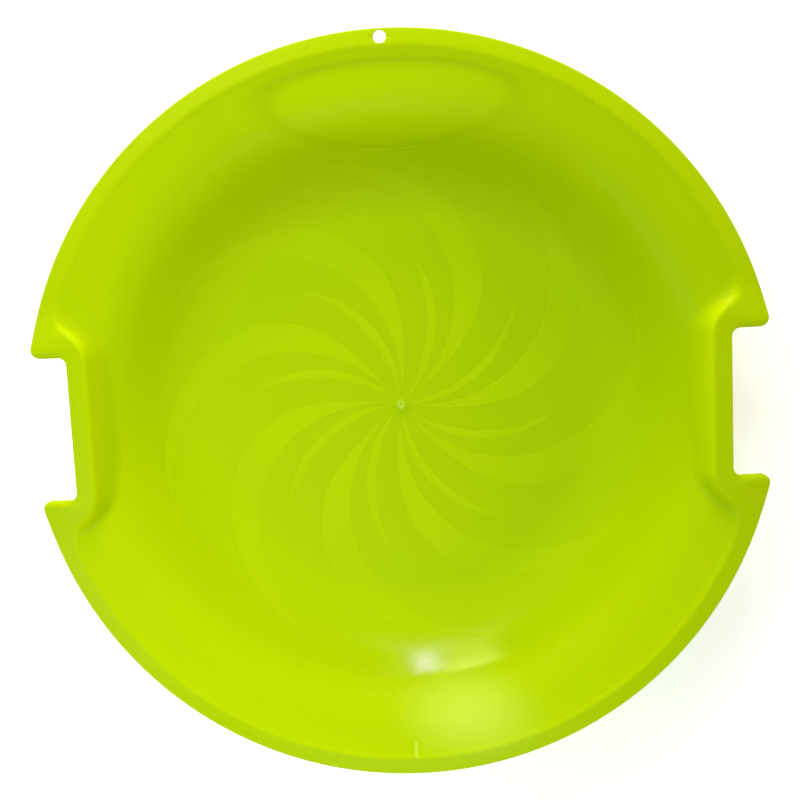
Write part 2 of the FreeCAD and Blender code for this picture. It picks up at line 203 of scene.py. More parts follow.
def soft_least(one: Number, other: Number, reach: Number) -> Number:
    """The smaller of two numbers, rounded where they differ by less than the reach."""
    near = most(reach - size_of(one - other), 0.0) / reach
    return least(one, other) - near * near * near * reach / 6.0


def soft_most(one: Number, other: Number, reach: Number) -> Number:
    """The larger of two numbers, rounded where they differ by less than the reach."""
    return -soft_least(-one, -other, reach)


def ease(number: Number, low: Number, high: Number) -> Number:
    """A smooth step, from 0 up to the low number to 1 from the high one on."""
    share = least(most((number - low) / (high - low), 0.0), 1.0)
    return share * share * (3.0 - 2.0 * share)


def bend_over(reach: Number, radius: Number, angle: Number) -> tuple[Number, Number]:
    """Follows a level face down round an arc.

    Args:
        reach: distance from where the face is level.
        radius: the arc's radius.
        angle: the slope that the arc ends in.

    Returns:
        The fall round the arc, and how far the reach runs on past it.
    """
    turn = radius * sine(angle)
    round_part = least(reach, turn)
    arc = radius - root(radius * radius - round_part * round_part)
    return arc, most(reach - turn, 0.0)


class Bend(Enum):
    """How a stretch of the section runs outwards."""

    STRAIGHT = "straight"
    HOLLOW = "hollow"
    PROUD = "proud"


@dataclass(frozen=True)
class Run:
    """One stretch of the dish's section: a straight line or an arc."""

    bend: Bend
    size: Number
    start_angle: Number
    end_angle: Number

    def width(self) -> Number:
        """How far the stretch reaches outwards.

        Returns:
            The distance on the plan.
        """
        if self.bend is Bend.STRAIGHT:
            return self.size * cosine(self.start_angle)
        return self.size * size_of(sine(self.end_angle) - sine(self.start_angle))

    def rise(self, reach: Number) -> Number:
        """Height gained along the stretch.

        Args:
            reach: distance outwards from the start of the stretch.

        Returns:
            The height above the start.
        """
        across = self.size * sine(self.start_angle)
        below = self.size * cosine(self.start_angle)
        if self.bend is Bend.STRAIGHT:
            return reach * across / below
        if self.bend is Bend.HOLLOW:
            return below - root(self.size * self.size - (across + reach) * (across + reach))
        return root(self.size * self.size - (across - reach) * (across - reach)) - below


@dataclass(frozen=True)
class DishSection:
    """Upper face of the dish: floor, curved wall, brim, step and crest, turned about the axis."""

    outer_radius: Number = 327.9 * MM
    lip_width: Number = 12.7 * MM
    wall_thickness: Number = 3.0 * MM
    root_radius: Number = 68.0 * MM
    wall_angle: Number = math.radians(52.5)
    wall_length: Number = 30.9 * MM
    shoulder_radius: Number = 86.0 * MM
    brim_angle: Number = math.radians(18.0)
    brim_length: Number = 21.3 * MM
    step_radius: Number = 10.0 * MM
    step_angle: Number = math.radians(29.0)
    step_length: Number = 0.5 * MM
    crest_radius: Number = 8.0 * MM

    def runs(self) -> list[Run]:
        """The stretches of the section.

        Returns:
            The runs in order from the floor to the crest.
        """
        return [
            Run(Bend.HOLLOW, self.root_radius, 0.0, self.wall_angle),
            Run(Bend.STRAIGHT, self.wall_length, self.wall_angle, self.wall_angle),
            Run(Bend.PROUD, self.shoulder_radius, self.wall_angle, self.brim_angle),
            Run(Bend.STRAIGHT, self.brim_length, self.brim_angle, self.brim_angle),
            Run(Bend.HOLLOW, self.step_radius, self.brim_angle, self.step_angle),
            Run(Bend.STRAIGHT, self.step_length, self.step_angle, self.step_angle),
            Run(Bend.PROUD, self.crest_radius, self.step_angle, 0.0),
        ]

    def crest_circle(self) -> Number:
        """Radius of the rim's crest."""
        return self.outer_radius - self.lip_width

    def floor_radius(self) -> Number:
        """Radius of the flat floor.

        Returns:
            What the runs leave of the crest's radius.
        """
        radius = self.crest_circle()
        for run in self.runs():
            radius = radius - run.width()
        return radius

    def height(self, radius: Number) -> Number:
        """Height of the upper face; beyond the crest it stays level.

        Args:
            radius: distance from the axis.

        Returns:
            The height above the ground.
        """
        start = self.floor_radius()
        level = self.wall_thickness
        for run in self.runs():
            width = run.width()
            level = level + run.rise(least(most(radius - start, 0.0), width))
            start = start + width
        return level


@dataclass(frozen=True)
class RimForm:
    """Lip and hand grips: one drooping flange round the rim, lifted into a bank at each side."""

    crest_offset: Number = 274.0 * MM
    bank_half_length: Number = 81.0 * MM
    bank_corner: Number = 22.0 * MM
    bank_merge: Number = 42.0 * MM
    bank_rise: Number = 5.1 * MM
    bank_fade: Number = 30.0 * MM
    bank_angle: Number = math.radians(66.0)
    bank_root: Number = 15.0 * MM
    bank_root_fine: Number = 5.0 * MM
    bank_root_middle: Number = 40.0 * MM
    bank_root_reach: Number = 10.0 * MM
    bank_root_end: Number = 60.0 * MM
    bank_root_full: Number = 10.0 * MM
    bank_crest_radius: Number = 4.5 * MM
    crest_radius: Number = 10.0 * MM
    droop_angle: Number = math.radians(1.5)
    droop_radius: Number = 300.0 * MM
    roll_radius: Number = 5.5 * MM
    roll_start: Number = 290.0 * MM
    roll_side: Number = 63.5 * MM
    roll_fade: Number = 9.0 * MM
    tie: Number = 0.1 * MM
    past_crest: Number = 3.0

    def bank_distance(self, x: Number, y: Number) -> Number:
        """Distance to the grip's own outline, a rounded bar; below zero on the grip.

        Args:
            x: place to the side.
            y: place to the front.

        Returns:
            The distance.
        """
        beside = self.crest_offset + self.bank_corner - size_of(x)
        beyond = size_of(y) - (self.bank_half_length - self.bank_corner)
        outside_x = most(beside, 0.0)
        outside_y = most(beyond, 0.0)
        outside = root(outside_x * outside_x + outside_y * outside_y)
        return outside + least(most(beside, beyond), 0.0) - self.bank_corner

    def crest_distance(self, x: Number, y: Number, crest_circle: Number) -> Number:
        """Distance to the crest line, round the rim and along both grips; below zero on the lip."""
        rim = crest_circle - root(x * x + y * y)
        return soft_least(rim, self.bank_distance(x, y), self.bank_merge)

    def droop(self, reach: Number) -> Number:
        """Fall of the flange outside the crest line.

        Args:
            reach: distance outwards from the crest line.

        Returns:
            How far below the crest.
        """
        arc, rest = bend_over(reach, self.crest_radius, self.droop_angle)
        slope = sine(self.droop_angle) / cosine(self.droop_angle)
        return arc + slope * rest + rest * rest / (2.0 * self.droop_radius)

    def bank_fall(self, reach: Number) -> Number:
        """Fall of the grip's wall at a distance inside the crest line."""
        arc, rest = bend_over(reach, self.bank_crest_radius, self.bank_angle)
        return arc + rest * sine(self.bank_angle) / cosine(self.bank_angle)

    def roll(self, x: Number, y: Number) -> Number:
        """Fall of the rolled edge along the short sides of a notch.

        Args:
            x: place to the side.
            y: place to the front.

        Returns:
            How far the edge is rolled down.
        """
        beyond = size_of(y) - self.roll_side
        share = least(most(1.0 - beyond / self.roll_radius, 0.0), 1.0)
        on_lip = ease(size_of(x), self.roll_start, self.roll_start + self.roll_fade)
        return 0.5 * self.roll_radius * share * share * on_lip

    def height(self, x: Number, y: Number, section: DishSection) -> Number:
        """Height of the whole upper face, dish and grips together.

        Args:
            x: place to the side.
            y: place to the front.
            section: the dish's section.

        Returns:
            The height above the ground.
        """
        radius = root(x * x + y * y)
        rim = section.crest_circle() - radius
        bank = self.bank_distance(x, y)
        edge = soft_least(rim, bank, self.bank_merge)
        lifted = ease(rim - bank, -self.bank_fade, self.bank_fade)
        crest = section.height(section.crest_circle()) + self.bank_rise * lifted
        flange = crest - self.droop(most(-edge, 0.0)) - self.bank_fall(most(edge, 0.0))
        dish = section.height(radius) - self.past_crest * most(-edge, 0.0)
        at_grip = ease(rim - bank, -self.bank_root_end, -self.bank_root_full)
        at_end = ease(size_of(y), self.bank_root_middle, self.bank_half_length)
        root_size = self.bank_root_fine + (self.bank_root - self.bank_root_fine) * at_end
        softness = self.tie + root_size * ease(edge, 0.0, self.bank_root_reach) * at_grip
        return soft_most(dish, flange, softness) - self.roll(x, y)


@dataclass(frozen=True)
class Badge:
    """Shallow oval field on the front wall, left bare."""

    offset: Number = 270.5 * MM
    half_width: Number = 118.0 * MM
    half_height: Number = 35.0 * MM
    band: Number = 7.0 * MM
    depth: Number = 1.3 * MM

    def sink(self, x: Number, y: Number) -> Number:
        """Depth of the field below the wall.

        Args:
            x: place to the side.
            y: place to the front.

        Returns:
            The depth.
        """
        across = x / self.half_width
        along = (y - self.offset) / self.half_height
        oval = root(across * across + along * along) + OFF_ZERO
        steep_x = across / self.half_width
        steep_y = along / self.half_height
        steep = root(steep_x * steep_x + steep_y * steep_y) + OFF_ZERO
        inside = (1.0 - oval) * oval / steep
        return self.depth * ease(inside, 0.0, self.band)


@dataclass(frozen=True)
class GateMark:
    """Small round mark where the plastic entered the mould."""

    gate_radius: Number = 5.2 * MM
    gate_edge: Number = 1.0 * MM
    gate_rise: Number = 0.7 * MM
    gate_dimple: Number = 2.4 * MM

    def rise(self, radius: Number) -> Number:
        """Height of the mark above the floor, with a dimple in its middle."""
        disc = 1.0 - ease(radius, self.gate_radius - self.gate_edge, self.gate_radius)
        return self.gate_rise * disc - self.gate_rise * (1.0 - ease(radius, 0.0, self.gate_dimple))

    def backing(self, radius: Number) -> Number:
        """Extra wall under the mark, which keeps the underside flat there."""
        return 2.0 * self.gate_rise * (1.0 - ease(radius, self.gate_radius, 2.0 * self.gate_radius))


class ShapeGraph(Graph):
    """A Geometry Nodes tree whose sizes are named inputs."""

    def __init__(self, name: str) -> None:
        """Makes an empty tree with geometry in and out.

        Args:
            name: the tree's name.
        """
        super().__init__(bpy.data.node_groups.new(name, "GeometryNodeTree"))
        for way in ("INPUT", "OUTPUT"):
            self.tree.interface.new_socket("Geometry", in_out=way, socket_type="NodeSocketGeometry")
        self.source = self.tree.nodes.new("NodeGroupInput")
        self.result = self.tree.nodes.new("NodeGroupOutput")
        self.given: dict[str, float] = {}

    def number(self, name: str, size: float) -> Value:
        """Adds a named input.

        Args:
            name: the input's name.
            size: what the modifier sets it to.

        Returns:
            The input as a number.
        """
        made = self.tree.interface.new_socket(name, in_out="INPUT", socket_type="NodeSocketFloat")
        self.given[made.identifier] = float(size)
        return Value(self, self.source.outputs[name])

    def named(self, sizes: Sizes) -> Sizes:
        """The same rule with each of its sizes as a named input.

        Args:
            sizes: a dataclass of plain sizes.

        Returns:
            A copy that holds sockets.
        """
        prefix = type(sizes).__name__
        sockets = {}
        for size in fields(sizes):
            name = f"{prefix} {size.name.replace('_', ' ')}"
            sockets[size.name] = self.number(name, getattr(sizes, size.name))
        return replace(sizes, **sockets)

    def thicken(self, shape: Socket, offset: Socket, depth: Number) -> Socket:
        """Closes an open sheet into a slab.

        Args:
            shape: the sheet, its faces pointing out.
            offset: direction that the slab grows in.
            depth: how far, as a multiple of the direction.

        Returns:
            The slab.
        """
        sheet = self.weld(shape)
        sockets = {"Mesh": sheet, "Offset": offset, "Offset Scale": depth, "Individual": False}
        grown = self.node("GeometryNodeExtrudeMesh", sockets, {"mode": "FACES"})
        turned = self.node("GeometryNodeFlipFaces", {"Mesh": grown.outputs["Mesh"]})
        both = self.node("GeometryNodeJoinGeometry", {0: [turned.outputs[0], sheet]})
        return self.weld(both.outputs[0])

    def place(self, shape: Socket, x: Number, y: Number, z: Number) -> Socket:
        """Puts each point of a shape where three numbers say."""
        sockets = {"Geometry": shape, "Position": self.vector(x, y, z)}
        return self.node("GeometryNodeSetPosition", sockets).outputs[0]

    def weld(self, shape: Socket) -> Socket:
        """Joins points that lie on one another, at seams and poles."""
        sockets = {"Geometry": shape, "Distance": WELD_DISTANCE}
        return self.node("GeometryNodeMergeByDistance", sockets).outputs[0]

    def close(self, shape: Socket, finish: bpy.types.Material) -> None:
        """Ends the tree: smooth faces, real geometry and the finish.

        Args:
            shape: what the tree has made.
            finish: its material.
        """
        smooth = self.node("GeometryNodeSetShadeSmooth", {"Geometry": shape})
        real = self.node("GeometryNodeRealizeInstances", {"Geometry": smooth.outputs[0]})
        dressed = self.node("GeometryNodeSetMaterial", {"Geometry": real.outputs[0]})
        dressed.inputs["Material"].default_value = finish
        self.tree.links.new(dressed.outputs[0], self.result.inputs[0])

    def attach(self, piece: bpy.types.Object) -> None:
        """Puts the tree on an object and sets its inputs by identifier.

        Args:
            piece: the object.
        """
        modifier = piece.modifiers.new(self.tree.name, "NODES")
        modifier.node_group = self.tree
        for identifier, size in self.given.items():
            modifier[identifier] = size


def new_piece(name: str, mesh: Optional[bpy.types.Mesh] = None) -> bpy.types.Object:
    """Adds an object at the origin.

    Args:
        name: the piece's name.
        mesh: its mesh, or None for an empty one.

    Returns:
        The object.
    """
    piece = bpy.data.objects.new(name, mesh or bpy.data.meshes.new(name))
    bpy.context.scene.collection.objects.link(piece)
    return piece


def settle(piece: bpy.types.Object) -> None:
    """Turns what an object's modifiers make into its own plain mesh.

    Args:
        piece: the object.
    """
    graph = bpy.context.evaluated_depsgraph_get()
    shown = piece.evaluated_get(graph)
    made = bpy.data.meshes.new_from_object(shown, preserve_all_data_layers=True, depsgraph=graph)
    piece.modifiers.clear()
    old = piece.data
    piece.data = made
    bpy.data.meshes.remove(old)
    made.name = piece.name


def hand_over(piece: bpy.types.Object) -> None:
    """Makes a finished piece ride on the sled's body.

    Args:
        piece: the object, with a plain mesh.
    """
    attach(piece, DISC_BODY)
    LOG.info("%s: %d faces", piece.name, len(piece.data.polygons))


@dataclass(frozen=True)
class PaintedLightPatch:
    """An oval patch or ring of painted light or shade: a lighter or darker colour on the plastic that stands
    in for light or shade falling there.

    Its soft edges run between shares of the half size: full and gone, and for a ring hollow.
    """

    colour: Colour
    middle: tuple[float, float]
    half_size: tuple[float, float]
    full: float
    gone: float
    hollow: float = 0.0

    def share(self, x: Value, y: Value) -> Value:
        """How much of the patch's painted light or shade shows.

        Args:
            x: place to the side.
            y: place to the front.

        Returns:
            0 to 1.
        """
        across = (x - self.middle[0]) / self.half_size[0]
        along = (y - self.middle[1]) / self.half_size[1]
        oval = root(across * across + along * along)
        shown = 1.0 - ease(oval, self.full, self.gone)
        if self.hollow > 0.0:
            shown = shown * ease(oval, self.hollow, self.full)
        return shown


class Mottle(Enum):
    """The noises in the plastic: how fine, per metre, and how many finer layers."""

    CLOUD = (14.0, 3.0)
    RIPPLE = (55.0, 1.0)
    SPECK = (420.0, 2.0)
    PEBBLE = (900.0, 1.0)

    def over(self, graph: Graph, place: Socket) -> Value:
        """The noise over a surface by its Object coordinates, about 0 to 1."""
        sockets = {"Vector": place, "Scale": self.value[0], "Detail": self.value[1]}
        return Value(graph, graph.node("ShaderNodeTexNoise", sockets).outputs["Fac"])


@dataclass(frozen=True)
class PlasticFinish:
    """Lime green polyethylene with a moulded grain."""

    name: str
    colour: Colour
    pale: Colour
    floor_roughness: float
    grain: float
    wall_roughness: float = 0.3
    brim_roughness: float = 0.3
    wall_grain: float = 0.5
    specular: float = 0.07
    outer: Optional[Colour] = None
    patches: tuple[PaintedLightPatch, ...] = ()
    wall_start: float = 215.0 * MM
    wall_full: float = 240.0 * MM
    brim_start: float = 250.0 * MM
    brim_full: float = 285.0 * MM
    outer_start: float = 90.0 * MM
    outer_full: float = 195.0 * MM
    cloud_tone: float = 0.35
    speck_tone: float = 0.3
    cloud_rough: float = 0.06
    speck_rough: float = 0.08
    ripple_depth: float = 0.35
    bump_strength: float = 0.5
    bump_distance: float = 0.1 * MM

    def make(self) -> bpy.types.Material:
        """The material, on Object coordinates.

        Returns:
            The new material.
        """
        material = bpy.data.materials.new(self.name)
        material.use_nodes = True
        material.node_tree.nodes.clear()
        graph = Graph(material.node_tree)
        place = graph.node("ShaderNodeTexCoord").outputs["Object"]
        x, y, _ = graph.axes(place)
        radius = root(x * x + y * y)
        on_wall = ease(radius, self.wall_start, self.wall_full)
        on_brim = ease(radius, self.brim_start, self.brim_full)
        cloud, ripple, speck, pebble = (mottle.over(graph, place) for mottle in Mottle)
        tone = self.cloud_tone * cloud + self.speck_tone * speck
        shade = graph.blend(tone, self.colour, self.pale)
        if self.outer is not None:
            outwards = ease(radius, self.outer_start, self.outer_full)
            shade = graph.blend(outwards, shade, self.outer)
        # painted light and shade: each patch lightens or darkens the colour where light or shade falls, not
        # the plastic's own tone
        for patch in self.patches:
            shade = graph.blend(patch.share(x, y), shade, patch.colour)
        to_wall = self.wall_roughness - self.floor_roughness
        to_brim = self.brim_roughness - self.wall_roughness
        matte = self.floor_roughness + to_wall * on_wall + to_brim * on_brim
        rough = matte + self.speck_rough * (speck - 0.5) + self.cloud_rough * (cloud - 0.5)
        grain = self.grain + (self.wall_grain - self.grain) * on_wall
        bump = graph.node("ShaderNodeBump", {
            "Strength": self.bump_strength,
            "Distance": self.bump_distance,
            "Height": grain * pebble + self.ripple_depth * ripple,
        })
        shader = graph.node("ShaderNodeBsdfPrincipled", {
            "Base Color": shade,
            "Roughness": rough,
            "Normal": bump.outputs["Normal"],
            "Specular IOR Level": self.specular,
        })
        graph.node("ShaderNodeOutputMaterial", {"Surface": shader.outputs["BSDF"]})
        return material


class Stretch(Enum):
    """A quarter's outline in order: the bearing it starts at in degrees, and its stations."""

    NOTCH_BACK = (0.0, 20)
    NOTCH_CORNER = (12.2, 8)
    NOTCH_SIDE = (14.0, 7)
    EAR = (15.8, 12)
    RIM_BY_EAR = (17.6, 20)
    RIM = (33.0, 62)


def on_circle(x: float, y: float, radius: float, turn: np.ndarray) -> np.ndarray:
    """Points round a circle at the given angles."""
    return np.stack([x + radius * np.cos(turn), y + radius * np.sin(turn)], 1)


@dataclass
class SledDisc:
    """The moulding itself: dish, lip, grips, notches and tow hole in one wall of plastic."""

    section: DishSection = field(default_factory=DishSection)
    rim: RimForm = field(default_factory=RimForm)
    badge: Badge = field(default_factory=Badge)
    gate: GateMark = field(default_factory=GateMark)
    notch_depth: float = 40.1 * MM
    notch_half_length: float = 63.5 * MM
    notch_corner: float = 7.0 * MM
    ear_radius: float = 8.0 * MM
    tow_hole_radius: float = 5.5 * MM
    tow_hole_place: float = 320.6 * MM
    edge_round: float = 0.8 * MM
    edge_segments: int = 3
    edge_angle: float = math.radians(50.0)
    gate_rings: tuple[float, ...] = (0.2, 0.4, 0.6, 0.78, 0.85, 0.92, 1.0)
    floor_rings: tuple[float, ...] = (0.1, 0.3, 0.55, 0.8, 1.0)
    wall_rings: int = 50
    lip_rings: int = 10
    ring_crowding: float = 2.6
    cutter_sides: int = 64
    cutter_length: float = 80.0 * MM
    cutter_level: float = 85.0 * MM
    cutter_turn: float = math.radians(1.9)

    def quarter(self) -> tuple[np.ndarray, np.ndarray]:
        """Outline of one quarter, from the middle of the notch to the front.

        Returns:
            The bearing of each station on the dish, and its point on the outline.
        """
        radius = self.section.outer_radius
        inner = radius - self.notch_depth
        corner = self.notch_corner
        side = self.notch_half_length
        ear = self.ear_radius
        ear_y = side + ear
        ear_x = math.sqrt((radius - ear) ** 2 - ear_y ** 2)
        ear_end = math.atan2(ear_y, ear_x)
        stops = np.radians([stretch.value[0] for stretch in Stretch] + [FRONT_BEARING])
        by_ear, free_rim = np.radians([Stretch.RIM_BY_EAR.value[0], Stretch.RIM.value[0]])
        bearings = []
        points = []
        for part, stretch in enumerate(Stretch):
            count = stretch.value[1]
            share = np.arange(count) / count
            bearing = stops[part] + (stops[part + 1] - stops[part]) * share
            if stretch is Stretch.NOTCH_BACK:
                spot = np.stack([np.full(count, inner), (side - corner) * share], 1)
            elif stretch is Stretch.NOTCH_CORNER:
                turn = math.pi - 0.5 * math.pi * share
                spot = on_circle(inner + corner, side - corner, corner, turn)
            elif stretch is Stretch.NOTCH_SIDE:
                start = inner + corner
                spot = np.stack([start + (ear_x - start) * share, np.full(count, side)], 1)
            elif stretch is Stretch.EAR:
                turn = -0.5 * math.pi + (ear_end + 0.5 * math.pi) * share
                spot = on_circle(ear_x, ear_y, ear, turn)
            else:
                left = np.maximum(1.0 - (bearing - by_ear) / (free_rim - by_ear), 0.0)
                turn = bearing - (by_ear - ear_end) * left ** 2
                spot = on_circle(0.0, 0.0, radius, turn)
            bearings.append(bearing)
            points.append(spot)
        bearings.append(stops[-1:])
        points.append(np.array([[0.0, radius]]))
        return np.concatenate(bearings), np.concatenate(points)

    def stations(self) -> tuple[np.ndarray, np.ndarray]:
        """All stations round the disc, mirrored from one quarter.

        Returns:
            The bearings, and the points on the outline.
        """
        bearing, spot = self.quarter()
        half_bearing = np.concatenate([bearing, math.pi - bearing[-2::-1]])
        half_spot = np.concatenate([spot, spot[-2::-1] * [-1.0, 1.0]])
        full_bearing = np.concatenate([half_bearing, 2.0 * math.pi - half_bearing[-2:0:-1]])
        full_spot = np.concatenate([half_spot, half_spot[-2:0:-1] * [1.0, -1.0]])
        return full_bearing, full_spot

    def crest_radii(self, bearing: np.ndarray) -> np.ndarray:
        """Distance from the axis to the crest line at each bearing, by halving.

        Args:
            bearing: the stations' bearings.

        Returns:
            The distances.
        """
        low = np.full(bearing.shape, self.section.floor_radius())
        high = np.full(bearing.shape, self.section.outer_radius)
        crest_circle = self.section.crest_circle()
        for _ in range(HALVINGS):
            middle = 0.5 * (low + high)
            left = self.rim.crest_distance(middle * np.cos(bearing), middle * np.sin(bearing), crest_circle)
            low = np.where(left > 0.0, middle, low)
            high = np.where(left > 0.0, high, middle)
        return low

    def plan(self) -> bpy.types.Mesh:
        """The disc laid flat: rings that follow the floor, the crest line and the outline.

        Returns:
            An open flat mesh that faces up.
        """
        bearing, outline = self.stations()
        crest = self.crest_radii(bearing)
        way = np.stack([np.cos(bearing), np.sin(bearing)], 1)
        floor_radius = self.section.floor_radius()
        rings = [share * self.gate.gate_radius * way for share in self.gate_rings]
        rings += [share * floor_radius * way for share in self.floor_rings]
        top = math.exp(self.ring_crowding) - 1.0
        for ring in range(1, self.wall_rings + 1):
            left = self.ring_crowding * (1.0 - ring / self.wall_rings)
            share = 1.0 - (math.exp(left) - 1.0) / top
            rings.append((floor_radius + (crest - floor_radius) * share)[:, None] * way)
        crest_line = crest[:, None] * way
        for ring in range(1, self.lip_rings + 1):
            rings.append(crest_line + (outline - crest_line) * (ring / self.lip_rings))
        flat = np.concatenate([np.zeros((1, 2))] + rings)
        count = len(bearing)
        following = (np.arange(count) + 1) % count
        faces = [(0, 1 + spot, 1 + after) for spot, after in enumerate(following)]
        for ring in range(len(rings) - 1):
            inner = 1 + ring * count
            outer = inner + count
            faces += [(inner + s, outer + s, outer + a, inner + a) for s, a in enumerate(following)]
        mesh = bpy.data.meshes.new("disc_plan")
        mesh.from_pydata(np.pad(flat, ((0, 0), (0, 1))).tolist(), [], faces)
        return mesh

    def raise_form(self, finish: bpy.types.Material) -> ShapeGraph:
        """The tree that lifts the flat plan into the moulding and gives it its wall.

        Args:
            finish: the disc's material.

        Returns:
            The tree.
        """
        graph = ShapeGraph("disc_form")
        section = graph.named(self.section)
        rim = graph.named(self.rim)
        badge = graph.named(self.badge)
        gate = graph.named(self.gate)
        x, y, above_ground = graph.axes(graph.node("GeometryNodeInputPosition").outputs[0])
        radius = root(x * x + y * y)
        level = rim.height(x, y, section) - badge.sink(x, y) + gate.rise(radius)
        lifted = graph.place(graph.source.outputs[0], x, y, level)
        _, _, upright = graph.axes(graph.node("GeometryNodeInputNormal").outputs["Normal"])
        depth = section.wall_thickness / upright + gate.backing(radius)
        shell = graph.thicken(lifted, graph.vector(0.0, 0.0, -depth), 1.0)
        resting = graph.place(shell, x, y, most(above_ground, 0.0))
        graph.close(resting, finish)
        return graph

    def hole_cutter(self) -> bpy.types.Object:
        """Makes a round bar where the tow hole goes.

        Returns:
            The bar, turned a little so that its sides miss the dish's own points.
        """
        piece = new_piece("tow_hole_cutter")
        graph = ShapeGraph("tow_hole_bar")
        bar = graph.node("GeometryNodeMeshCylinder", {
            "Vertices": self.cutter_sides,
            "Radius": graph.number("Hole Radius", self.tow_hole_radius),
            "Depth": self.cutter_length,
        })
        reach = graph.number("Hole Place", self.tow_hole_place)
        placed = graph.node("GeometryNodeTransform", {
            "Geometry": bar.outputs[0],
            "Translation": graph.vector(0.0, reach, self.cutter_level),
            "Rotation": (0.0, 0.0, self.cutter_turn),
        })
        graph.tree.links.new(placed.outputs[0], graph.result.inputs[0])
        graph.attach(piece)
        settle(piece)
        return piece

    def build(self, finish: bpy.types.Material) -> None:
        """Makes the disc, rounds its edges, cuts its hole and puts it in the CAD node's place.

        Args:
            finish: the disc's material.
        """
        piece = new_piece("sled_dish", self.plan())
        self.raise_form(finish).attach(piece)
        rounded = piece.modifiers.new("edge_round", "BEVEL")
        rounded.width = self.edge_round
        rounded.segments = self.edge_segments
        rounded.limit_method = "ANGLE"
        rounded.angle_limit = self.edge_angle
        rounded.use_clamp_overlap = False
        cutter = self.hole_cutter()
        cut = piece.modifiers.new("tow_hole", "BOOLEAN")
        cut.operation = "DIFFERENCE"
        cut.solver = "EXACT"
        cut.object = cutter
        settle(piece)
        bpy.data.objects.remove(cutter)
        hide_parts(DISC_NODE)
        hand_over(piece)


@dataclass
class Relief:
    """A low raised shape on the dish that may repeat round the axis."""

    name: str
    count: int = 1
    first_bearing: float = 0.0
    step_bearing: float = 0.0
    height: float = 0.25 * MM
    edge: float = 1.8 * MM
    sunk: float = 0.2 * MM
    slab: float = 0.8 * MM
    along_count: int = 60
    across_count: int = 25
    section: DishSection = field(default_factory=DishSection)

    def inputs(self, graph: ShapeGraph, *names: str) -> list[Value]:
        """Named inputs of the tree for some of the shape's sizes."""
        return [graph.number(name.replace("_", " "), getattr(self, name)) for name in names]

    def trace(self, graph: ShapeGraph, along: Value, across: Value) -> Traced:
        """Where a point of the shape lies.

        Args:
            graph: the tree.
            along: 0 to 1 from the start to the tip.
            across: 0 to 1 from one edge to the other.

        Returns:
            The point's x and y, and the shape's width there.
        """
        raise NotImplementedError

    def build(self, finish: bpy.types.Material) -> None:
        """Makes the shape and its copies.

        Args:
            finish: the relief's material.
        """
        piece = new_piece(self.name)
        graph = ShapeGraph(f"{self.name}_relief")
        edge, rise, first, step = self.inputs(graph, "edge", "height", "first_bearing", "step_bearing")
        grid = graph.node("GeometryNodeMeshGrid", {
            "Size X": 1.0,
            "Size Y": 1.0,
            "Vertices X": self.along_count,
            "Vertices Y": self.across_count,
        })
        flat_x, flat_y, _ = graph.axes(graph.node("GeometryNodeInputPosition").outputs[0])
        along = flat_x + 0.5
        across = 0.5 - 0.5 * cosine(math.pi * (flat_y + 0.5))
        x, y, width = self.trace(graph, along, across)
        inside = least(across, 1.0 - across) * width
        profile = ease(inside, 0.0, edge)
        level = self.section.height(root(x * x + y * y)) - self.sunk + (rise + self.sunk) * profile
        laid = graph.place(grid.outputs["Mesh"], x, y, level)
        slab = graph.thicken(laid, graph.vector(0.0, 0.0, -1.0), self.slab)
        spots = graph.node("GeometryNodePoints", {"Count": self.count})
        index = Value(graph, graph.node("GeometryNodeInputIndex").outputs[0])
        turn = graph.vector(0.0, 0.0, first + index * step)
        facing = graph.node("FunctionNodeEulerToRotation", {0: turn})
        copies = graph.node("GeometryNodeInstanceOnPoints", {
            "Points": spots.outputs[0],
            "Instance": slab,
            "Rotation": facing.outputs[0],
        })
        graph.close(copies.outputs[0], finish)
        graph.attach(piece)
        settle(piece)
        hand_over(piece)


@dataclass
class SwirlBlades(Relief):
    """The long curved blades of the pinwheel on the floor."""

    base_radius: float = 9.0 * MM
    tip_radius: float = 236.0 * MM
    sweep: float = math.radians(83.0)
    back_power: float = 1.9
    tip_cut: float = 0.94

    def trace(self, graph: ShapeGraph, along: Value, across: Value) -> Traced:
        """Where a point of a blade lies.

        Args:
            graph: the tree.
            along: 0 to 1 from the base to the tip.
            across: 0 to 1 from the front edge to the back edge.

        Returns:
            The point's x and y, and the blade's width there.
        """
        base, tip, sweep = self.inputs(graph, "base_radius", "tip_radius", "sweep")
        start = 1.0 - root(1.0 - (base / tip) * (base / tip))
        share = start + (self.tip_cut - start) * along * along
        left = 1.0 - share
        front = tip * root(1.0 - left * left)
        back = most(tip * (1.0 - left ** self.back_power), base)
        radius = front + (back - front) * across
        bearing = sweep * share
        return radius * cosine(bearing), radius * sine(bearing), front - back


@dataclass
class SwirlRays(Relief):
    """The short rays between the blades."""

    base_radius: float = 10.0 * MM
    tip_radius: float = 152.0 * MM
    sweep: float = math.radians(38.0)
    half_angle: float = math.radians(6.6)
    bend: float = 0.18
    taper: float = 0.75

    def trace(self, graph: ShapeGraph, along: Value, across: Value) -> Traced:
        """Where a point of a ray lies.

        Args:
            graph: the tree.
            along: 0 to 1 from the base to the tip.
            across: 0 to 1 from one side of the middle line to the other.

        Returns:
            The point's x and y, and the ray's width there.
        """
        base, tip, sweep, widest = self.inputs(graph, "base_radius", "tip_radius", "sweep", "half_angle")
        reach = base / tip
        share = reach + (1.0 - reach) * along
        radius = tip * share
        middle = sweep * ((1.0 - self.bend) * share + self.bend * share * share)
        half = widest * most(1.0 - share, 0.0) ** self.taper
        bearing = middle + half * (2.0 * across - 1.0)
        return radius * cosine(bearing), radius * sine(bearing), 2.0 * half * radius


